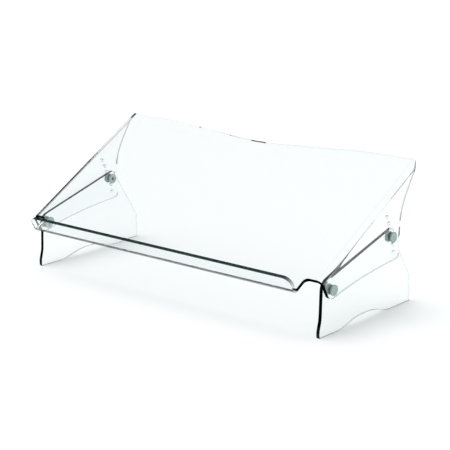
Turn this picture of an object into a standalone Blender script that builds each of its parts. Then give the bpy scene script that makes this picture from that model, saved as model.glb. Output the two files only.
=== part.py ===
"""Adjustable reading slope for a desk: a folded clear acrylic board on two clear acrylic legs.

Lengths are in metres, +Z is up, +X is the user's right and +Y points away from the user.
The origin is on the table, under the middle of the whole object.

The board is one sheet, cut flat and then folded along three lines: a lip at the front and a wing
down each side.  Each wing hangs outside a leg.  It turns on a pivot screw near the front and is
held by a lock screw that goes through one of six holes near the back.
"""
import bpy
import bmesh
from math import atan2, copysign, cos, pi, radians, sin, tan
from mathutils import Vector

# ---------------------------------------------------------------- driving dimensions
NAME = "reading_slope"

SHEET = 0.0050              # thickness of every acrylic sheet
FIT = 0.0002                # gap between neighbouring pieces
SLOPE = radians(29.6)       # slope of the board at rest
STACK_X = 0.2536            # middle of the wing-and-leg sandwich, from the centre plane

PIVOT_Y = 0.0182            # pivot axis, behind the line where the toes meet the table
PIVOT_Z = 0.0610            # pivot axis, above the table
PIVOT_BACK = 0.0359         # pivot axis, up the slope from the lip
PIVOT_DROP = 0.0228         # pivot axis, below the board's middle plane
MID_DEPTH = 0.0847          # middle of the whole depth, behind the toe line

LOCK_REACH = 0.1372         # pivot axis to every lock hole
LOCK_ANGLE = radians(17.3)  # lock screw seen from the pivot, above level
HOLE_PITCH = radians(4.55)  # angle between neighbouring lock holes
HOLE_COUNT = 6
HOLE_IN_USE = 3             # counted from 0 at the top hole

BOARD_LENGTH = 0.2650       # lip to top edge, at the sides
SCOOP_DEPTH = 0.0155        # how far the top edge dips at the centre
SCOOP_HALF = 0.2000         # half the width of the dip
LIP_HEIGHT = 0.0238         # top of the lip above the board's middle plane
LIP_HALF = 0.2320           # half the width of the lip
LIP_CORNER = 0.0110         # radius of the lip's top corners
LIP_BEND = 0.0040           # radius of the lip's fold at mid thickness
RELIEF = 0.0243             # the wings start this far up the slope from the lip
RELIEF_FILLET = 0.0065      # inner corner between the lip's sides and the front edge
WING_BEND = 0.0070          # radius of a wing's fold at mid thickness
WING_RISE = radians(15.0)   # slope of a wing's bottom edge where it leaves the pivot end
WING_HEEL_Y = 0.1668        # a wing's lower back corner when sharp, behind the toe line
WING_HEEL_Z = 0.0706        # the same corner, above the table
WING_HEEL_R = 0.0070        # radius of that corner

LEG_LENGTH = 0.2040         # back of the foot, behind the toe line
LEG_HEAD = 0.0142           # radius of a leg's head round the pivot
LEG_TOP = radians(15.7)     # slope of a leg's top edge
LEG_SHOULDER = 0.1535       # sharp upper back corner, behind the toe line
LEG_HEEL = 0.0350           # height at which the back edge turns upright
TOE_BULGE = 0.0013          # how far the toe stands in front of where it meets the table
SHIN_BACK = 0.0028          # how far the straight front edge stands behind that line
ARCH_START = 0.0400         # end of the front resting pad
ARCH_TOP = 0.1000           # highest point of the arch between the pads
ARCH_END = 0.1580           # start of the back resting pad
ARCH = 0.0097               # height of the arch

DISC_R = 0.0072             # screw and nut heads
DISC_H = 0.0020
DISC_CHAMFER = 0.0004
SHANK_R = 0.0020
BARREL_R = 0.0031
BORE_R = 0.0023
WING_HOLE_R = 0.0025
LEG_HOLE_R = 0.0034
PACKING_H = 0.0004          # washer between wing and leg
PACKING_R = 0.0062
SKIN_H = 0.0003             # washer under a head
SKIN_R = 0.0068

ROUND_STEPS = 24            # sides of a turned piece or a drilled hole
BEND_STEPS = 8              # flats in a folded corner

# ---------------------------------------------------------------- worked-out dimensions
LEG_X = STACK_X - PACKING_H / 2 - FIT - SHEET / 2    # middle of a leg
WING_X = STACK_X + PACKING_H / 2 + FIT + SHEET / 2   # middle of a wing
BEND_X = WING_X - WING_BEND                          # where a wing's fold starts
BEND_LENGTH = WING_BEND * pi / 2
LIP_BEND_LENGTH = LIP_BEND * pi / 2
PIVOT = Vector((0.0, PIVOT_Y - MID_DEPTH, PIVOT_Z))
LOCK = PIVOT + LOCK_REACH * Vector((0.0, cos(LOCK_ANGLE), sin(LOCK_ANGLE)))
UP_SLOPE = Vector((0.0, cos(SLOPE), sin(SLOPE)))
OFF_SLOPE = Vector((0.0, -sin(SLOPE), cos(SLOPE)))
FOLD = PIVOT - PIVOT_BACK * UP_SLOPE + PIVOT_DROP * OFF_SLOPE


# ---------------------------------------------------------------- materials
def material(name, colour, roughness, metallic=0.0, transmission=0.0):
    """A Principled material; colour is linear RGB."""
    mat = bpy.data.materials.new(name)
    mat.use_nodes = True
    shader = mat.node_tree.nodes["Principled BSDF"]
    shader.inputs["Base Color"].default_value = (*colour, 1.0)
    shader.inputs["Roughness"].default_value = roughness
    shader.inputs["Metallic"].default_value = metallic
    shader.inputs["Transmission Weight"].default_value = transmission
    mat.diffuse_color = (*colour, 1.0)
    return mat


# ---------------------------------------------------------------- outline helpers
def arc(centre, radius, start, end, steps):
    """Points on an arc from one angle to another, both ends included."""
    turn = (end - start) / steps
    return [(centre[0] + radius * cos(start + turn * i), centre[1] + radius * sin(start + turn * i))
            for i in range(steps + 1)]


def circle(centre, radius):
    return arc(centre, radius, 0.0, 2 * pi, ROUND_STEPS)[:-1]


def fillet(before, corner, after, radius, steps):
    """Points that round the corner between two straight edges."""
    corner = Vector(corner)
    to_before = (Vector(before) - corner).normalized()
    to_after = (Vector(after) - corner).normalized()
    half = to_before.angle(to_after) / 2
    start = corner + to_before * radius / tan(half)
    centre = corner + (to_before + to_after).normalized() * radius / sin(half)
    first = atan2(start.y - centre.y, start.x - centre.x)
    sweep = pi - 2 * half
    side = copysign(1.0, to_before.x * to_after.y - to_before.y * to_after.x)
    return arc(centre, radius, first, first - side * sweep, steps)


def bezier(start, handle_a, handle_b, end, steps):
    """Points on a cubic curve, without its first point."""
    points = []
    for i in range(1, steps + 1):
        t = i / steps
        weights = ((1 - t) ** 3, 3 * t * (1 - t) ** 2, 3 * t * t * (1 - t), t ** 3)
        ends = (start, handle_a, handle_b, end)
        points.append(tuple(sum(w * p[k] for w, p in zip(weights, ends)) for k in (0, 1)))
    return points


def sheet_from_outlines(name, loops):
    """A sheet lying in local XY, cut to the first loop, with the other loops as holes."""
    curve = bpy.data.curves.new(name, "CURVE")
    curve.dimensions = "2D"
    curve.fill_mode = "BOTH"
    curve.extrude = SHEET / 2
    for loop in loops:
        spline = curve.splines.new("POLY")
        spline.points.add(len(loop) - 1)
        for point, (x, y) in zip(spline.points, loop):
            point.co = (x, y, 0.0, 1.0)
        spline.use_cyclic_u = True
    outline = bpy.data.objects.new(name + "_outline", curve)
    bpy.context.scene.collection.objects.link(outline)
    graph = bpy.context.evaluated_depsgraph_get()
    mesh = bpy.data.meshes.new_from_object(outline.evaluated_get(graph))
    bpy.data.objects.remove(outline)
    work = bmesh.new()
    work.from_mesh(mesh)
    bmesh.ops.remove_doubles(work, verts=work.verts, dist=1e-6)
    work.to_mesh(mesh)
    work.free()
    mesh.name = name
    return mesh


def add_piece(name, mesh, mat, origin, turn=None):
    """Make the node: its origin goes to a point in the world, with an optional rotation."""
    piece = bpy.data.objects.new(name, mesh)
    piece.location = origin
    if turn is not None:
        piece.rotation_euler = turn
    mesh.materials.clear()
    mesh.materials.append(mat)
    parts.objects.link(piece)
    return piece


# ---------------------------------------------------------------- the board
def wing_flat_x(depth):
    """Where a point this deep below the board lies across the flat sheet, before folding."""
    return BEND_X + BEND_LENGTH - WING_BEND + depth


def wing_flat(y, z):
    """Where a point of the wing in side view lies on the flat sheet; y from the toe line."""
    place = Vector((0.0, y - MID_DEPTH, z)) - FOLD
    return wing_flat_x(-place.dot(OFF_SLOPE)), place.dot(UP_SLOPE)


def lock_hole_centres():
    """The six lock holes of the right wing, on the flat sheet."""
    centres = []
    for i in range(HOLE_COUNT):
        angle = LOCK_ANGLE + (HOLE_IN_USE - i) * HOLE_PITCH - SLOPE
        depth = PIVOT_DROP - LOCK_REACH * sin(angle)
        centres.append((wing_flat_x(depth), PIVOT_BACK + LOCK_REACH * cos(angle)))
    return centres


def half_outline():
    """Right half of the flat sheet's edge, from the middle of the lip to the middle of the top."""
    lip_top = LIP_BEND - LIP_BEND_LENGTH - (LIP_HEIGHT - LIP_BEND)
    lip_centre = (LIP_HALF - LIP_CORNER, lip_top + LIP_CORNER)
    notch_centre = (LIP_HALF + RELIEF_FILLET, RELIEF - RELIEF_FILLET)
    pivot = (wing_flat_x(PIVOT_DROP), PIVOT_BACK)
    nose = arc(pivot, PIVOT_BACK - RELIEF, -pi / 2, WING_RISE - SLOPE, 8)
    # The bottom edge flattens towards the back; the back edge starts upright and sweeps back.
    heel = wing_flat(WING_HEEL_Y, WING_HEEL_Z)
    under_heel = wing_flat(WING_HEEL_Y - 0.010, WING_HEEL_Z - 0.0008)
    along = Vector((sin(SLOPE - WING_RISE), cos(SLOPE - WING_RISE)))
    bottom = bezier(nose[-1], Vector(nose[-1]) + 0.045 * along,
                    wing_flat(WING_HEEL_Y - 0.054, WING_HEEL_Z - 0.0043), under_heel, 10)
    back_start = wing_flat(WING_HEEL_Y - 0.0004, WING_HEEL_Z + 0.0084)
    top_corner = (wing_flat_x(0.0), BOARD_LENGTH)
    back = bezier(back_start, wing_flat(WING_HEEL_Y - 0.0021, WING_HEEL_Z + 0.0684),
                  wing_flat(WING_HEEL_Y + 0.0042, WING_HEEL_Z + 0.0689), top_corner, 14)
    dip = BOARD_LENGTH - SCOOP_DEPTH
    scoop = bezier((SCOOP_HALF, BOARD_LENGTH), (0.70 * SCOOP_HALF, BOARD_LENGTH),
                   (0.25 * SCOOP_HALF, dip), (0.0, dip), 12)
    points = arc(lip_centre, LIP_CORNER, -pi / 2, 0.0, 6)
    points += arc(notch_centre, RELIEF_FILLET, pi, pi / 2, 6)
    points += nose
    points += bottom
    points += fillet(under_heel, heel, back_start, WING_HEEL_R, 8)
    points += back
    points += [(SCOOP_HALF, BOARD_LENGTH)]
    points += scoop
    return points


def fold_point(x, s, w):
    """Where a point of the flat sheet ends up: x across, s up the slope, w off the middle plane."""
    across, off = abs(x), w
    if across > BEND_X:
        angle = min((across - BEND_X) / WING_BEND, pi / 2)
        beyond = max(across - BEND_X - BEND_LENGTH, 0.0)
        across = BEND_X + (WING_BEND + w) * sin(angle)
        off = (WING_BEND + w) * cos(angle) - WING_BEND - beyond
    if s < LIP_BEND:
        angle = min((LIP_BEND - s) / LIP_BEND, pi / 2)
        beyond = max(LIP_BEND - s - LIP_BEND_LENGTH, 0.0)
        off = LIP_BEND - (LIP_BEND - w) * cos(angle) + beyond
        s = LIP_BEND - (LIP_BEND - w) * sin(angle)
    return FOLD + Vector((copysign(across, x), 0.0, 0.0)) + s * UP_SLOPE + off * OFF_SLOPE


def make_board(mat):
    """The folded sheet: desk, lip and both wings."""
    right = half_outline()
    left = [(-x, s) for x, s in reversed(right[:-1])]
    loops = [right + left]
    pivot = (wing_flat_x(PIVOT_DROP), PIVOT_BACK)
    for x, s in lock_hole_centres() + [pivot]:
        loops.append(circle((x, s), WING_HOLE_R))
        loops.append(circle((-x, s), WING_HOLE_R))
    mesh = sheet_from_outlines("board", loops)

    work = bmesh.new()
    work.from_mesh(mesh)
    cuts = []
    for i in range(BEND_STEPS + 1):
        x = BEND_X + BEND_LENGTH * i / BEND_STEPS
        cuts += [((x, 0, 0), (1, 0, 0)), ((-x, 0, 0), (1, 0, 0))]
        s = LIP_BEND - LIP_BEND_LENGTH * i / BEND_STEPS
        cuts += [((0, s, 0), (0, 1, 0))]
    for place, across in cuts:
        everything = work.verts[:] + work.edges[:] + work.faces[:]
        bmesh.ops.bisect_plane(work, geom=everything, dist=1e-7, plane_co=place, plane_no=across)
    for vert in work.verts:
        vert.co = fold_point(*vert.co) - PIVOT
    bmesh.ops.recalc_face_normals(work, faces=work.faces)
    flat = radians(1.0)
    bmesh.ops.dissolve_limit(work, angle_limit=flat, verts=work.verts, edges=work.edges)
    work.to_mesh(mesh)
    work.free()
    return add_piece("board", mesh, mat, PIVOT)


# ---------------------------------------------------------------- the legs
def leg_outline():
    """A leg's edge in side view: y from the toe line, z above the table."""
    head = (PIVOT_Y, PIVOT_Z)
    shin = (SHIN_BACK, 0.0270)
    toe = (-TOE_BULGE, 0.0060)
    shoulder_z = PIVOT_Z + LEG_HEAD / cos(LEG_TOP) + (LEG_SHOULDER - PIVOT_Y) * tan(LEG_TOP)
    shoulder = (LEG_SHOULDER, shoulder_z)
    heel = (LEG_LENGTH, LEG_HEEL)
    crown = arc(head, LEG_HEAD, pi, pi / 2 + LEG_TOP, 8)
    points = [(0.0, 0.0)]
    points += bezier((0.0, 0.0), (-0.8 * TOE_BULGE, 0.0010), (-TOE_BULGE, 0.0030), toe, 4)
    points += bezier(toe, (-TOE_BULGE, 0.0130), (SHIN_BACK - 0.0006, 0.0180), shin, 6)
    points += crown
    points += fillet(crown[-1], shoulder, heel, 0.005, 6)
    points += fillet(shoulder, heel, (LEG_LENGTH, 0.0), 0.008, 4)
    points += [(LEG_LENGTH, 0.0), (ARCH_END, 0.0)]
    points += bezier((ARCH_END, 0.0), (ARCH_END - 0.019, 0.0), (ARCH_TOP + 0.034, ARCH),
                     (ARCH_TOP, ARCH), 7)
    points += bezier((ARCH_TOP, ARCH), (ARCH_TOP - 0.035, ARCH), (ARCH_START + 0.018, 0.0),
                     (ARCH_START, 0.0), 7)
    return points


def make_leg(name, side, mat):
    """One flat leg; side is 1 on the right and -1 on the left."""
    lock = (LOCK.y + MID_DEPTH, LOCK.z)
    holes = [circle((PIVOT_Y, PIVOT_Z), LEG_HOLE_R), circle(lock, LEG_HOLE_R)]
    mesh = sheet_from_outlines(name, [leg_outline()] + holes)
    upright = (pi / 2, 0.0, pi / 2)
    return add_piece(name, mesh, mat, (side * LEG_X, -MID_DEPTH, 0.0), upright)


# ---------------------------------------------------------------- turned pieces
def turned(name, profile, closed, mat, axis_point, side, x):
    """A profile of (radius, height) turned round the X axis; heights grow away from the centre."""
    mesh = bpy.data.meshes.new(name)
    count = len(profile)
    edges = [(i, (i + 1) % count) for i in range(count if closed else count - 1)]
    mesh.from_pydata([(r, 0.0, h) for r, h in profile], edges, [])
    origin = (side * x, axis_point.y, axis_point.z)
    piece = add_piece(name, mesh, mat, origin, (0.0, side * pi / 2, 0.0))
    spin = piece.modifiers.new("turn", "SCREW")
    spin.steps = ROUND_STEPS
    spin.render_steps = ROUND_STEPS
    spin.use_merge_vertices = True
    spin.merge_threshold = 1e-6
    spin.use_smooth_shade = True
    return piece


def make_screw(name, axis_point, side, shank_length, mat):
    """A flat disc head outside the wing, with a shank that points to the centre plane."""
    head_x = STACK_X + PACKING_H / 2 + SHEET + SKIN_H + 3 * FIT
    c = DISC_CHAMFER
    profile = [(0.0, DISC_H), (DISC_R - c, DISC_H), (DISC_R, DISC_H - c), (DISC_R, c),
               (DISC_R - c, 0.0), (SHANK_R, 0.0), (SHANK_R, c - shank_length),
               (SHANK_R - c, -shank_length), (0.0, -shank_length)]
    return turned(name, profile, False, mat, axis_point, side, head_x)


def make_nut(name, axis_point, side, mat):
    """A flat disc head inside the leg, with a barrel that fills the leg's hole."""
    head_x = STACK_X - PACKING_H / 2 - SHEET - SKIN_H - 3 * FIT
    c = DISC_CHAMFER
    barrel = SHEET + SKIN_H + 2 * FIT
    profile = [(BORE_R, barrel), (BARREL_R, barrel), (BARREL_R, 0.0), (DISC_R - c, 0.0),
               (DISC_R, -c), (DISC_R, c - DISC_H), (DISC_R - c, -DISC_H),
               (BORE_R + c, -DISC_H), (BORE_R, c - DISC_H)]
    return turned(name, profile, True, mat, axis_point, side, head_x)


def make_washer(name, axis_point, side, x, thickness, inner, outer, mat):
    """A thin flat ring; x is the middle of its thickness."""
    half = thickness / 2
    profile = [(inner, half), (outer, half), (outer, -half), (inner, -half)]
    return turned(name, profile, True, mat, axis_point, side, x)


def make_fastening(prefix, axis_point, side, shank_length, metal, nylon):
    """Everything on one screw: screw, nut and three washers."""
    make_screw(prefix + "_screw", axis_point, side, shank_length, metal)
    make_nut(prefix + "_nut", axis_point, side, metal)
    outside = STACK_X + PACKING_H / 2 + 2 * FIT + SHEET + SKIN_H / 2
    inside = STACK_X - PACKING_H / 2 - 2 * FIT - SHEET - SKIN_H / 2
    make_washer(prefix + "_wing_washer", axis_point, side, outside, SKIN_H, WING_HOLE_R, SKIN_R,
                nylon)
    make_washer(prefix + "_packing_washer", axis_point, side, STACK_X, PACKING_H, WING_HOLE_R,
                PACKING_R, nylon)
    make_washer(prefix + "_leg_washer", axis_point, side, inside, SKIN_H, LEG_HOLE_R, SKIN_R,
                nylon)


# ---------------------------------------------------------------- build
for old in list(bpy.data.objects):
    bpy.data.objects.remove(old)
parts = bpy.data.collections.new(NAME)
bpy.context.scene.collection.children.link(parts)

clear_acrylic = material("clear_acrylic", (0.88, 0.94, 0.94), 0.04, transmission=0.9)
satin_metal = material("satin_metal", (0.40, 0.46, 0.45), 0.35, metallic=0.9)
clear_nylon = material("clear_nylon", (0.80, 0.82, 0.82), 0.45)

make_board(clear_acrylic)
# A pivot screw reaches through the wing and the leg.  A lock screw is cut short at the wing's
# inner face, so that the board can turn past the nut in the leg.
through = 2 * SHEET + PACKING_H + 2 * SKIN_H + 6 * FIT
to_wing_face = SHEET + SKIN_H + 2 * FIT
for side_name, side in (("left", -1), ("right", 1)):
    make_leg(side_name + "_leg", side, clear_acrylic)
    make_fastening(side_name + "_pivot", PIVOT, side, through, satin_metal, clear_nylon)
    make_fastening(side_name + "_lock", LOCK, side, to_wing_face, satin_metal, clear_nylon)
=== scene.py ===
# %% [markdown]
# # An adjustable reading slope in clear acrylic
# The object stands on a desk and holds papers or a book at a slant.  One sheet of clear acrylic,
# folded along three lines, makes the board, its front lip and a wing down each side.  Two flat
# legs of the same sheet carry it, and four screws with disc heads hold wings and legs together.
#
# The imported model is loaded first.  It is the frame that every new piece has to fit, so every
# place and size below comes from it.

# %% Load the frame
import bpy
import bmesh
from math import hypot, pi, radians
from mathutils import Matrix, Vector


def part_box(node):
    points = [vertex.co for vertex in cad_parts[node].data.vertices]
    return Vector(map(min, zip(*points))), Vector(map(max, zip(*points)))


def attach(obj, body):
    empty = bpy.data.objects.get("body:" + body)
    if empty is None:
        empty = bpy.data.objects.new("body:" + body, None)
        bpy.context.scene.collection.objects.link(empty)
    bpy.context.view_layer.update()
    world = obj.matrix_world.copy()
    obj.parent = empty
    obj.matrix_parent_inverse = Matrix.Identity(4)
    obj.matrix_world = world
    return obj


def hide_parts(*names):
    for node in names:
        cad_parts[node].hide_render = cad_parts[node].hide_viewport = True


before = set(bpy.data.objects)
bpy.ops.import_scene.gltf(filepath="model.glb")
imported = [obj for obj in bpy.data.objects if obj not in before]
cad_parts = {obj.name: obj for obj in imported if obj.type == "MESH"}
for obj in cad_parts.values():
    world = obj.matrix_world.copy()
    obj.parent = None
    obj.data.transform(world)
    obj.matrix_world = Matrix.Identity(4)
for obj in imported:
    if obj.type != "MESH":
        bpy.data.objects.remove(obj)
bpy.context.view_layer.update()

# %% [markdown]
# ## Camera
# The camera stands in front, to the user's right and a little above the board.  A long lens from
# two metres away keeps the two ends of the board nearly the same size.  The picture is shown as
# it is lit, with no film-like curve, so that a white table stays white.

# %% Camera
CAMERA_PLACE = (1.3021, -1.5288, 0.6260)
CAMERA_TARGET = (-0.0017, 0.0353, 0.0794)
CAMERA_LENS = 120.15        # mm, on a 36 mm wide sensor

scene = bpy.context.scene
scene.view_settings.view_transform = "Standard"
bpy.ops.object.camera_add(location=CAMERA_PLACE)
camera = bpy.context.object
camera.name = "camera"
camera.data.lens = CAMERA_LENS
camera.data.sensor_width = 36.0
look = Vector(CAMERA_TARGET) - Vector(CAMERA_PLACE)
camera.rotation_euler = look.to_track_quat("-Z", "Y").to_euler()
scene.camera = camera
print("camera distance:", round(look.length, 3), "m")

# %% [markdown]
# ## Helpers for materials
# Colours are written as sRGB hex values, as a paint program shows them, and turned to the linear
# values that Blender works with.  One small function adds a node with its settings and links, so
# that a material reads as a list of what it is made of.


# %% Colour and node helpers
def linear(hex_colour):
    """An sRGB hex colour as linear RGBA."""
    channels = [int(hex_colour[i:i + 2], 16) / 255 for i in (1, 3, 5)]
    return [c / 12.92 if c <= 0.04045 else ((c + 0.055) / 1.055) ** 2.4 for c in channels] + [1.0]


def add_node(tree, kind, settings=None, inputs=None):
    """Add a node; an input is a value, or another node's output socket to link."""
    node = tree.nodes.new(kind)
    for name, value in (settings or {}).items():
        setattr(node, name, value)
    for name, value in (inputs or {}).items():
        if isinstance(value, bpy.types.NodeSocket):
            tree.links.new(value, node.inputs[name])
        else:
            node.inputs[name].default_value = value
    return node


def new_material(name):
    """An empty material, its node tree and its output node."""
    material = bpy.data.materials.new(name)
    material.use_nodes = True
    tree = material.node_tree
    tree.nodes.clear()
    return material, tree, add_node(tree, "ShaderNodeOutputMaterial")


print("mid grey #808080 is", round(linear("#808080")[0], 3), "in linear light")

# %% [markdown]
# ## Clear cast acrylic
# The sheets are acrylic, cast between plates of glass.  That leaves two faces as smooth as the
# plates, so a face is seen only by its reflections and by what it bends.  A cut edge is another
# matter.  Looking into it, the eye looks along the inside of the sheet, and the edge can be
# nearly black, with a trace of green.
#
# That darkness isn't traced here.  It is painted: three attributes on the mesh say how dark or
# clear each face is, and their values were set for the object seen from the front.  A
# traced loss inside the sheet would be dark from every side alike, and these values are not.
#
# - `edge_shade` darkens a cut edge.
# - `fold_shade` darkens a side bend where it is seen at a glancing angle.
# - `fold_clear` makes the tight bend of the lip partly see-through, without bending light.

# %% Acrylic: how dark each place is
IOR_ACRYLIC = 1.49          # typical for PMMA
FACE_TINT = "#fdfefe"       # what one polished face takes from the light
# painted shade: the near-black of a cut edge and of a dark side bend, with the sheet's trace of
# green
EDGE_TINT_AND_PAINTED_SHADE = "#304440"       # what a dark edge lets through

acrylic, tree, output = new_material("clear_cast_acrylic")
edge = add_node(tree, "ShaderNodeAttribute", {"attribute_name": "edge_shade"})
fold = add_node(tree, "ShaderNodeAttribute", {"attribute_name": "fold_shade"})
facing = add_node(tree, "ShaderNodeLayerWeight", {}, {"Blend": 0.5})
grazing = add_node(tree, "ShaderNodeMath", {"operation": "POWER"}, {
    0: facing.outputs["Facing"], 1: 4.0})
shade = add_node(tree, "ShaderNodeMath", {"operation": "MULTIPLY_ADD", "use_clamp": True}, {
    0: grazing.outputs[0], 1: fold.outputs["Fac"], 2: edge.outputs["Fac"]})
# the face tint, turned to painted shade where edge_shade and fold_shade ask for it
tint_and_painted_shade = add_node(tree, "ShaderNodeMix", {"data_type": "RGBA"}, {
    "Factor": shade.outputs[0], 6: linear(FACE_TINT), 7: linear(EDGE_TINT_AND_PAINTED_SHADE)})
glass = add_node(tree, "ShaderNodeBsdfGlass", {}, {
    "Color": tint_and_painted_shade.outputs[2], "Roughness": 0.0, "IOR": IOR_ACRYLIC})
print(acrylic.name, "bends light by", IOR_ACRYLIC)

# %% [markdown]
# Glass throws a black shadow unless it is told not to.  A real clear sheet lets most light
# through where light meets it squarely, and hardly any where light runs along it, so an upright
# leg under a lamp throws a soft grey shadow and the board almost none.  A Transparent shader that
# darkens with the angle stands in for that.  It is used for shadow rays and for light that bounces
# off the table, so those pass the sheet without being bent.  That is quicker and brighter than
# real glass, and it is a shortcut.  Its strength is given.

# %% Acrylic: its shadow
steep = add_node(tree, "ShaderNodeMath", {"operation": "POWER"}, {
    0: facing.outputs["Facing"], 1: 3.5})
passed = add_node(tree, "ShaderNodeMix", {"data_type": "RGBA"}, {
    "Factor": steep.outputs[0], 6: linear("#fafbfb"), 7: linear("#2c3434")})
clear = add_node(tree, "ShaderNodeBsdfTransparent", {}, {"Color": passed.outputs[2]})
path = add_node(tree, "ShaderNodeLightPath")
lip = add_node(tree, "ShaderNodeAttribute", {"attribute_name": "fold_clear"})
unseen_ray = add_node(tree, "ShaderNodeMath", {"operation": "MAXIMUM"}, {
    0: path.outputs["Is Shadow Ray"], 1: path.outputs["Is Diffuse Ray"]})
straight = add_node(tree, "ShaderNodeMath", {"operation": "MAXIMUM"}, {
    0: unseen_ray.outputs[0], 1: lip.outputs["Fac"]})
mixed = add_node(tree, "ShaderNodeMixShader", {}, {
    "Fac": straight.outputs[0], 1: glass.outputs[0], 2: clear.outputs[0]})
tree.links.new(mixed.outputs[0], output.inputs["Surface"])
print(acrylic.name, "has", len(tree.nodes), "nodes")

# %% [markdown]
# ## Satin aluminium
# The heads are turned on a lathe from aluminium bar and left satin.  The tool leaves fine rings
# round the axis, which spread a highlight across them and make the face look soft and pale
# rather than mirror-like.  Real rings are about 0.05 mm apart.  They are drawn 0.4 mm apart here,
# because finer ones would blur away.  Each turned piece carries the distance from its own axis as
# an attribute, `turning_radius`, so one material gives every piece rings about its own middle.

# %% Satin aluminium
RING_SPACING = 0.0004

aluminium, tree, output = new_material("satin_turned_aluminium")
radius = add_node(tree, "ShaderNodeAttribute", {"attribute_name": "turning_radius"})
turns = add_node(tree, "ShaderNodeMath", {"operation": "MULTIPLY"}, {
    0: radius.outputs["Fac"], 1: 2 * pi / RING_SPACING})
rings = add_node(tree, "ShaderNodeMath", {"operation": "SINE"}, {0: turns.outputs[0]})
place = add_node(tree, "ShaderNodeTexCoord")
grain = add_node(tree, "ShaderNodeTexNoise", {}, {
    "Vector": place.outputs["Object"], "Scale": 900.0, "Detail": 2.0})
tool = add_node(tree, "ShaderNodeMath", {"operation": "MULTIPLY_ADD"}, {
    0: rings.outputs[0], 1: 0.12, 2: grain.outputs["Fac"]})
worn = add_node(tree, "ShaderNodeMix", {"data_type": "RGBA", "clamp_factor": True}, {
    "Factor": tool.outputs[0], 6: linear("#98b0ab"), 7: linear("#b0c6c1")})
rough = add_node(tree, "ShaderNodeMapRange", {}, {
    "Value": tool.outputs[0], "To Min": 0.30, "To Max": 0.42})
relief = add_node(tree, "ShaderNodeBump", {}, {
    "Strength": 0.25, "Distance": 0.00005, "Height": tool.outputs[0]})
shader = add_node(tree, "ShaderNodeBsdfPrincipled", {}, {
    "Base Color": worn.outputs[2], "Metallic": 0.6, "Roughness": rough.outputs[0],
    "Normal": relief.outputs[0]})
tree.links.new(shader.outputs[0], output.inputs["Surface"])
print(aluminium.name, "rings", round(1000 * RING_SPACING, 2), "mm apart")

# %% [markdown]
# ## Natural nylon
# Thin washers keep metal and acrylic apart.  They are stamped from undyed nylon sheet, which is
# milky, a little cloudy and softly shiny.  A low noise, with clouds a millimetre across, gives
# the unevenness, and a finer one the slight orange-peel of the rolled surface.

# %% Natural nylon
nylon, tree, output = new_material("natural_nylon")
place = add_node(tree, "ShaderNodeTexCoord")
clouds = add_node(tree, "ShaderNodeTexNoise", {}, {
    "Vector": place.outputs["Object"], "Scale": 700.0, "Detail": 3.0})
milk = add_node(tree, "ShaderNodeMix", {"data_type": "RGBA"}, {
    "Factor": clouds.outputs["Fac"], 6: linear("#cfd6d4"), 7: linear("#eef1f0")})
peel = add_node(tree, "ShaderNodeTexNoise", {}, {
    "Vector": place.outputs["Object"], "Scale": 3000.0, "Detail": 1.0})
relief = add_node(tree, "ShaderNodeBump", {}, {
    "Strength": 0.15, "Distance": 0.00003, "Height": peel.outputs["Fac"]})
shader = add_node(tree, "ShaderNodeBsdfPrincipled", {}, {
    "Base Color": milk.outputs[2], "Roughness": 0.45, "IOR": 1.53,
    "Transmission Weight": 0.25, "Normal": relief.outputs[0]})
tree.links.new(shader.outputs[0], output.inputs["Surface"])

washers = [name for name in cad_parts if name.endswith("_washer")]
for name in washers:
    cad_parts[name].data.materials[0] = nylon
print(len(washers), "washers in", nylon.name)

# %% [markdown]
# The ring between wing and leg looks much darker than the others.  What makes it dark isn't
# known: it may be shade in a narrow gap, or a dark rubber washer.  It is drawn as the same nylon
# in a dark grey-green: painted shade for the narrow gap between wing and leg.

# %% Packing washers
# painted shade: a copy of the nylon with its two colours made dark grey-green
packing = nylon.copy()
packing.name = "nylon_painted_shade"
for node in packing.node_tree.nodes:
    if node.bl_idname == "ShaderNodeMix":
        node.inputs[6].default_value = linear("#33463f")
        node.inputs[7].default_value = linear("#4f6560")
middle_washers = [name for name in washers if "packing" in name]
for name in middle_washers:
    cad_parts[name].data.materials[0] = packing
print(len(middle_washers), "washers in", packing.name)

# %% [markdown]
# ## The sheets
# The CAD sheets have the right shape, and what they lack is the small rounding of every edge that
# catches light.  A CAD node's mesh isn't to be changed, so each sheet is copied.  The copy is
# loose triangles, so its doubled points are merged and its flat triangles joined into whole faces
# before anything else is done to it.


# %% Copy a sheet
def select_only(piece):
    """Make one object the selected and active one."""
    bpy.ops.object.select_all(action="DESELECT")
    piece.select_set(True)
    bpy.context.view_layer.objects.active = piece


def merged_copy(node, name):
    """A CAD node's shape as a new piece, with its loose triangles joined up."""
    piece = bpy.data.objects.new(name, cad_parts[node].data.copy())
    scene.collection.objects.link(piece)
    select_only(piece)
    bpy.ops.object.mode_set(mode="EDIT")
    bpy.ops.mesh.select_all(action="SELECT")
    bpy.ops.mesh.remove_doubles(threshold=1e-6)
    bpy.ops.mesh.dissolve_limited(angle_limit=radians(0.5))
    bpy.ops.object.mode_set(mode="OBJECT")
    return piece


sheets = {node: merged_copy(node, "clear_" + node) for node in ("board", "left_leg", "right_leg")}
for node, piece in sheets.items():
    print(piece.name, "from", node, "has", len(piece.data.polygons), "faces")

# %% [markdown]
# A sheet has two large polished sides, which run round the bends without a sharp corner, and
# narrow cut faces all round it and in its holes.  Starting anywhere and spreading over every
# neighbour that is nearly level finds one connected area at a time.  The two largest are the
# sides, and all the others are cut.

# %% Find the cut faces
SHARP = radians(40)         # a bend's flats meet at 11 degrees, and a cut corner at 90


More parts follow.
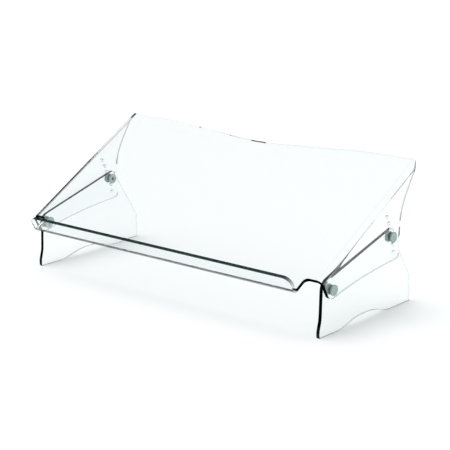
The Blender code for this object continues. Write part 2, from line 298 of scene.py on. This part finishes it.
def level_areas(mesh):
    """Groups of face numbers that no sharp corner divides, the largest area first."""
    touching = {}
    for face in mesh.polygons:
        for key in face.edge_keys:
            touching.setdefault(key, []).append(face.index)
    areas = []
    unseen = set(range(len(mesh.polygons)))
    while unseen:
        found = [unseen.pop()]
        for index in found:
            face = mesh.polygons[index]
            for other in (n for key in face.edge_keys for n in touching[key]):
                if other in unseen and mesh.polygons[other].normal.angle(face.normal) < SHARP:
                    unseen.remove(other)
                    found.append(other)
        areas.append(found)
    return sorted(areas, key=lambda faces: -sum(mesh.polygons[i].area for i in faces))


def mark_cut_faces(mesh):
    """Give the sides material slot 0 and the cut faces slot 1."""
    mesh.materials.clear()
    mesh.materials.append(acrylic)
    mesh.materials.append(acrylic)
    for face in mesh.polygons:
        face.material_index = 0
    for index in (i for faces in level_areas(mesh)[2:] for i in faces):
        mesh.polygons[index].material_index = 1


for piece in sheets.values():
    mark_cut_faces(piece.data)
    print(piece.name, sum(face.material_index for face in piece.data.polygons), "cut faces")

# %% [markdown]
# A cut edge is broken with a scraper so that it doesn't hurt a hand, which leaves a quarter of a
# millimetre.  A Bevel modifier does that along every sharp corner, and puts its new faces in
# slot 1 with the cut ones.
#
# Shading a sheet is delicate, because glass bends light by the normals it is given.  Smooth
# normals that lean over on a large flat would turn it into a lens.  So the bends are smoothed by
# angle, and a Weighted Normal modifier then holds the normals of large faces straight.

# %% Round the edges
EDGE_BREAK = 0.00025

for piece in sheets.values():
    select_only(piece)
    bevel = piece.modifiers.new("edges", "BEVEL")
    bevel.width = EDGE_BREAK
    bevel.segments = 2
    bevel.limit_method = "ANGLE"
    bevel.angle_limit = SHARP
    bevel.material = 1
    bpy.ops.object.modifier_apply(modifier="edges")
    bpy.ops.object.shade_smooth_by_angle(angle=radians(30))
    weighted = piece.modifiers.new("weighted", "WEIGHTED_NORMAL")
    weighted.keep_sharp = True
    weighted.weight = 100
    bpy.ops.object.modifier_apply(modifier="weighted")
    print(piece.name, len(piece.data.polygons), "faces with rounded edges")

# %% [markdown]
# ## Where the sheets are dark
# The board leans back, so places on it are measured up its slope, off it, and along it.  The
# slope and the front edge are read from the flat face of the CAD board.


# %% Places on the board
def centre(node):
    """The middle of a CAD node's box."""
    low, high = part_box(node)
    return (low + high) / 2


upward = [face for face in sheets["board"].data.polygons if face.normal.z > 0.5]
desk = max(upward, key=lambda face: face.area)
off_slope = desk.normal
up_slope = Vector((0.0, off_slope.z, -off_slope.y))
SHEET = 0.005               # thickness of the sheet
corners = [sheets["board"].data.vertices[i].co for i in desk.vertices]
front = min(corners, key=lambda point: point.dot(up_slope))
top = max(corners, key=lambda point: point.dot(up_slope))
desk_level = desk.center.dot(off_slope)
WING_START = 0.2495         # distance from the middle at which the desk bends into a wing
BEND_DEPTH = 0.0065         # how far below the desk that bend reaches


def up(place):
    """How far up the desk a place is, from 0 at the lip to 1 at the top edge."""
    return (place - front).dot(up_slope) / (top - front).dot(up_slope)


def below(place):
    """How far a place lies under the desk's face."""
    return desk_level - place.dot(off_slope)


print("slope:", round(up_slope.angle(Vector((0, 1, 0))) * 180 / pi, 1), "degrees")
print("flat of the desk:", round(1000 * (top - front).dot(up_slope), 1), "mm long")

# %% [markdown]
# A cut face is painted as dark as it is turned to the front, and one that faces sideways or back
# is left clear, as the holes are.  This is a choice for the front view, not a property of the
# sheet: seen from behind, a real edge would be just as dark.  Two small stretches of the top edge
# are fully dark as well, the left corner and the middle.  What they are isn't known.

# %% Edge shade
LEG_GAIN, BOARD_GAIN = 2.8, 2.0        # how fast a cut face darkens as it turns to the front
TOP_BAND, CORNER_BAND = 0.9, 0.97      # how far up the desk the middle mark and corner start
HOLE_REACH = 0.0035                    # a little more than the radius of a lock hole
MARK_HALF = 0.0105          # half the width of the dark mark in the middle of the top edge


PIVOT = centre("left_pivot_nut")
LOCK_REACH = (centre("left_lock_nut") - PIVOT).length


def in_lock_hole(place):
    """True on the wall of a hole for a lock screw."""
    return abs(hypot(place.y - PIVOT.y, place.z - PIVOT.z) - LOCK_REACH) < HOLE_REACH


def edge_shade(node, face):
    """How dark a face of a sheet is, from 0 to 1."""
    if face.material_index == 0 or in_lock_hole(face.center):
        return 0.0
    if node == "board" and up(face.center) > TOP_BAND:
        corner = up(face.center) > CORNER_BAND and face.center.x < -WING_START
        if corner or abs(face.center.x) < MARK_HALF:
            return 1.0
    gain = BOARD_GAIN if node == "board" else LEG_GAIN
    return min(max(-gain * face.normal.y, 0.0), 1.0)


def write_corners(mesh, name, values):
    """Store one value for each corner of each face."""
    layer = mesh.attributes.new(name, "FLOAT", "CORNER")
    layer.data.foreach_set("value", values)


for node, piece in sheets.items():
    values = [0.0] * len(piece.data.loops)
    for face in piece.data.polygons:
        for corner in face.loop_indices:
            values[corner] = edge_shade(node, face)
    write_corners(piece.data, "edge_shade", values)
    print(piece.name, sum(value > 0 for value in values), "dark corners")

# %% [markdown]
# The side bends are painted as dark lines low down that fade about two thirds of the way up, and
# the lip's bend is made paler than plain glass would be.  Both strengths are given below.

# %% Fold shade
FADE_START, FADE_END = 0.50, 0.78      # how far up the desk a side bend starts and ends fading
FOLD_GAIN, FOLD_LEAST = 2.2, 0.15
LIP_REACH = 0.0045                     # how far the lip's bend reaches from its outer corner
LIP_CLEAR = 0.72                       # share of light that passes it unbent


def fold_shade(place):
    """How dark a side bend is at a place, seen at a glancing angle."""
    strength = (FADE_END - up(place)) / (FADE_END - FADE_START)
    return FOLD_GAIN * min(max(strength, FOLD_LEAST), 1.0)


def in_side_bend(place):
    return abs(place.x) > WING_START and below(place) < BEND_DEPTH


def in_lip_bend(place):
    along = (place - front).dot(up_slope)
    return along < LIP_REACH and -LIP_REACH < below(place) < SHEET + 0.001


for node, piece in sheets.items():
    mesh = piece.data
    side = [0.0] * len(mesh.loops)
    clear_lip = [0.0] * len(mesh.loops)
    for face in (f for f in mesh.polygons if node == "board"):
        for corner, vertex in zip(face.loop_indices, face.vertices):
            if in_side_bend(face.center):
                side[corner] = fold_shade(mesh.vertices[vertex].co)
            elif in_lip_bend(face.center):
                clear_lip[corner] = LIP_CLEAR
    write_corners(mesh, "fold_shade", side)
    write_corners(mesh, "fold_clear", clear_lip)
    print(piece.name, sum(v > 0 for v in side), "side and", sum(v > 0 for v in clear_lip), "lip")

# %% [markdown]
# Slot 1 has done its work of telling cut faces from sides, so it goes, and each sheet is tied to
# the body that it moves with and stands for its CAD node.

# %% Hand the sheets over
SHEET_BODY = {"board": "board", "left_leg": "legs", "right_leg": "legs"}

for node, piece in sheets.items():
    for face in piece.data.polygons:
        face.material_index = 0
    piece.data.materials.pop(index=1)
    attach(piece, SHEET_BODY[node])
    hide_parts(node)
    print(piece.name, "moves with", SHEET_BODY[node])

# %% [markdown]
# ## The turned pieces
# A disc-headed screw goes in from the outside of each wing, into a disc-headed nut whose barrel
# fills the hole in the leg.  Both are turned from bar, so both can be made from a cylinder: the
# disc's rim is rounded, a face is inset in steps, and one inset face is drawn out into the shank.
# A list of inset steps, each a width and a depth, is like the list of cuts that a turner makes.
# Two small helpers pick what the next operator is to work on, by place and direction.

# %% Helpers for turning
ROUND = 72                  # sides of a turned piece
HEAD = 0.0020               # thickness of a disc
RIM = 0.0004                # rounding of a disc's rim
LAND = 0.0008               # flat ring between the rim and the dish of a head
STEP = 0.0003               # width of the small slope into the dish
DISH = 0.00012              # depth of the dish
CENTRE_MARK = (0.0006, 0.0004, 0.0003)   # radius, slope width and depth of the lathe's mark
CHAMFER = 0.0004            # slope at the mouth of a nut's bore
SHANK, BARREL, BORE = 0.0020, 0.0031, 0.0023     # radii
HEAD_RADIUS = (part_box("right_lock_screw")[1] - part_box("right_lock_screw")[0]).z / 2


def pick(piece, kind, wanted):
    """In edit mode, select only the faces or edges for which wanted is true."""
    bpy.context.tool_settings.mesh_select_mode = (False, kind == "edges", kind == "faces")
    bpy.ops.mesh.select_all(action="DESELECT")
    work = bmesh.from_edit_mesh(piece.data)
    for item in (work.faces if kind == "faces" else work.edges):
        if wanted(item):
            item.select_set(True)
    bmesh.update_edit_mesh(piece.data)


def across(x):
    """A test for a flat cap that lies across the axis at x."""
    return lambda face: all(abs(v.co.x - x) < 1e-6 for v in face.verts) and len(face.verts) > 4


def around(x, radius, axis):
    """A test for the edges of one circle round the axis."""
    return lambda edge: all(
        abs(v.co.x - x) < 1e-6 and abs(hypot(v.co.y - axis.y, v.co.z - axis.z) - radius) < 1e-5
        for v in edge.verts)


def turn(steps):
    """Cut into the selected cap: each step goes inwards by a width and sinks by a depth."""
    for width, depth in steps:
        bpy.ops.mesh.inset(thickness=width, depth=-depth)


print("head radius:", round(1000 * HEAD_RADIUS, 2), "mm")

# %% [markdown]
# The disc comes first.  Its axis runs along X, and its rounded rim is what tells a machined head
# from a flat coin of colour.


# %% A disc on its axis
def turned_disc(name, axis, low, high):
    """A disc with rounded rims between two places on X, left in edit mode."""
    bpy.ops.object.select_all(action="DESELECT")
    bpy.ops.mesh.primitive_cylinder_add(
        vertices=ROUND, radius=HEAD_RADIUS, depth=high - low,
        location=((low + high) / 2, axis.y, axis.z), rotation=(0.0, pi / 2, 0.0))
    piece = bpy.context.object
    piece.name = name
    bpy.ops.object.transform_apply(location=True, rotation=True, scale=True)
    bpy.ops.object.mode_set(mode="EDIT")
    for x in (low, high):
        pick(piece, "edges", around(x, HEAD_RADIUS, axis))
        bpy.ops.mesh.bevel(offset=RIM, segments=3, affect="EDGES")
    return piece


def finish_turning(piece, axis):
    """Close edit mode, smooth the round faces, and note every point's distance from the axis."""
    bpy.ops.mesh.select_all(action="SELECT")
    bpy.ops.mesh.normals_make_consistent(inside=False)
    bpy.ops.object.mode_set(mode="OBJECT")
    bpy.ops.object.shade_smooth_by_angle(angle=radians(35))
    piece.data.materials.clear()
    piece.data.materials.append(aluminium)
    layer = piece.data.attributes.new("turning_radius", "FLOAT", "POINT")
    for vertex in piece.data.vertices:
        layer.data[vertex.index].value = hypot(vertex.co.y - axis.y, vertex.co.z - axis.z)
    print(piece.name, len(piece.data.polygons), "faces")


# %% [markdown]
# A screw's outer face is dished by an eighth of a millimetre inside a narrow land, and keeps the
# little cone of the lathe's centre.  Its back face is inset down to the shank, which is drawn out
# and has its end rounded.  The pivot's shank goes through wing and leg, and the lock's is short.


# %% Screws
def turned_screw(name, node):
    """A right-hand screw on a CAD node's axis, as long as the node."""
    low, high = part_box(node)
    axis = centre(node)
    piece = turned_disc(name, axis, high.x - HEAD, high.x)
    flat = HEAD_RADIUS - RIM
    pick(piece, "faces", across(high.x))
    mark, slope, sink = CENTRE_MARK
    turn([(LAND, 0.0), (STEP, DISH), (flat - LAND - STEP - mark, 0.0), (slope, sink)])
    pick(piece, "faces", across(high.x - HEAD))
    turn([(flat - SHANK, 0.0)])
    draw = high.x - HEAD - low.x
    bpy.ops.mesh.extrude_region_move(TRANSFORM_OT_translate={"value": (-draw, 0.0, 0.0)})
    pick(piece, "edges", around(low.x, SHANK, axis))
    bpy.ops.mesh.bevel(offset=RIM, segments=2, affect="EDGES")
    pick(piece, "faces", across(low.x))
    turn([(SHANK - RIM - STEP, 0.0)])
    finish_turning(piece, axis)
    return piece


pivot_screw = turned_screw("turned_right_pivot_screw", "right_pivot_screw")
lock_screw = turned_screw("turned_right_lock_screw", "right_lock_screw")

# %% [markdown]
# A nut is the same disc with a barrel on one side, and a bore right through.  Both ends of the
# bore are inset to its radius and opened, and the two rings are bridged to make its wall.


# %% Nuts
def turned_nut(name, node):
    """A right-hand nut on a CAD node's axis: a disc towards the middle, a barrel outwards."""
    low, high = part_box(node)
    axis = centre(node)
    piece = turned_disc(name, axis, low.x, low.x + HEAD)
    flat = HEAD_RADIUS - RIM
    pick(piece, "faces", across(low.x + HEAD))
    turn([(flat - BARREL, 0.0)])
    draw = high.x - low.x - HEAD
    bpy.ops.mesh.extrude_region_move(TRANSFORM_OT_translate={"value": (draw, 0.0, 0.0)})
    turn([(BARREL - BORE, 0.0)])
    bpy.ops.mesh.delete(type="ONLY_FACE")
    pick(piece, "faces", across(low.x))
    turn([(LAND, 0.0), (STEP, DISH), (flat - LAND - STEP - BORE - CHAMFER, 0.0),
          (CHAMFER, CHAMFER)])
    bpy.ops.mesh.delete(type="ONLY_FACE")
    pick(piece, "edges", lambda edge: edge.is_boundary)
    bpy.ops.mesh.bridge_edge_loops()
    finish_turning(piece, axis)
    return piece


pivot_nut = turned_nut("turned_right_pivot_nut", "right_pivot_nut")

# %% [markdown]
# The lock nut is the pivot nut in another place.  The left side has the same pieces turned half
# round about an upright line through their own axis, which keeps their faces pointing outwards
# where a mirror would turn them inside out.  Every copy has its own mesh.


# %% Copies
def copy_of(piece, name, offset=(0.0, 0.0, 0.0), half_turn_y=None):
    """A copy with its own mesh, moved, or turned half round about x = 0 at a depth y."""
    select_only(piece)
    bpy.ops.object.duplicate(linked=False)
    twin = bpy.context.object
    twin.name = name
    bpy.ops.transform.translate(value=offset)
    if half_turn_y is not None:
        bpy.ops.transform.rotate(value=pi, orient_axis="Z", center_override=(0.0, half_turn_y, 0.0))
    bpy.ops.object.transform_apply(location=True, rotation=True, scale=True)
    return twin


lock_nut = copy_of(pivot_nut, "turned_right_lock_nut",
                   centre("right_lock_nut") - centre("right_pivot_nut"))
turned = {"right_pivot_screw": pivot_screw, "right_lock_screw": lock_screw,
          "right_pivot_nut": pivot_nut, "right_lock_nut": lock_nut}
for node in list(turned):
    left = node.replace("right", "left")
    turned[left] = copy_of(turned[node], "turned_" + left, half_turn_y=centre(node).y)
for node, piece in turned.items():
    body = "board" if "pivot_screw" in node else node
    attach(piece, body)
    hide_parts(node)
    print(piece.name, "moves with", body)

# %% [markdown]
# ## Table and light
# The object stands on white paper that runs on out of sight.  A large soft lamp overhead, a
# little to the left and in front, throws the faint grey shadows of the legs to the right.  The
# room above is bright and near the table it is dim, which is meant to darken the bends and edges
# that look that way.  The lamp is hidden from reflections, because its bright patch in the board
# was unwanted.  A real lamp would show there.

# %% Table
bpy.ops.object.select_all(action="DESELECT")
bpy.ops.mesh.primitive_plane_add(size=24.0, location=(0.0, 0.0, 0.0))
floor = bpy.context.object
floor.name = "floor"
paper, tree, output = new_material("white_paper")
shader = add_node(tree, "ShaderNodeBsdfPrincipled", {}, {
    "Base Color": linear("#f4f4f4"), "Roughness": 0.9, "Specular IOR Level": 0.1})
tree.links.new(shader.outputs[0], output.inputs["Surface"])
floor.data.materials.append(paper)
print("floor:", floor.dimensions.x, "m across")

# %% Room and lamp
DIM, BRIGHT = 0.25, 0.62
DIM_UP_TO = 0.3             # sine of the height in the sky where the room is fully bright

world = bpy.data.worlds.new("studio")
scene.world = world
world.use_nodes = True
tree = world.node_tree
tree.nodes.clear()
direction = add_node(tree, "ShaderNodeTexCoord")
height = add_node(tree, "ShaderNodeSeparateXYZ", {}, {"Vector": direction.outputs["Generated"]})
rise = add_node(tree, "ShaderNodeMapRange", {"interpolation_type": "SMOOTHSTEP"}, {
    "Value": height.outputs["Z"], "From Min": 0.0, "From Max": DIM_UP_TO,
    "To Min": DIM, "To Max": BRIGHT})
sky = add_node(tree, "ShaderNodeBackground", {}, {
    "Color": linear("#fafdff"), "Strength": rise.outputs[0]})
add_node(tree, "ShaderNodeOutputWorld", {}, {"Surface": sky.outputs[0]})

bpy.ops.object.light_add(type="SUN", rotation=(radians(7), radians(-20), 0.0))
lamp = bpy.context.object
lamp.name = "key_light"
lamp.visible_glossy = False
lamp.visible_transmission = False
lamp.data.energy = 2.0
lamp.data.angle = radians(50)
print("lamp:", lamp.data.energy, "W/m2, soft over 50 degrees")
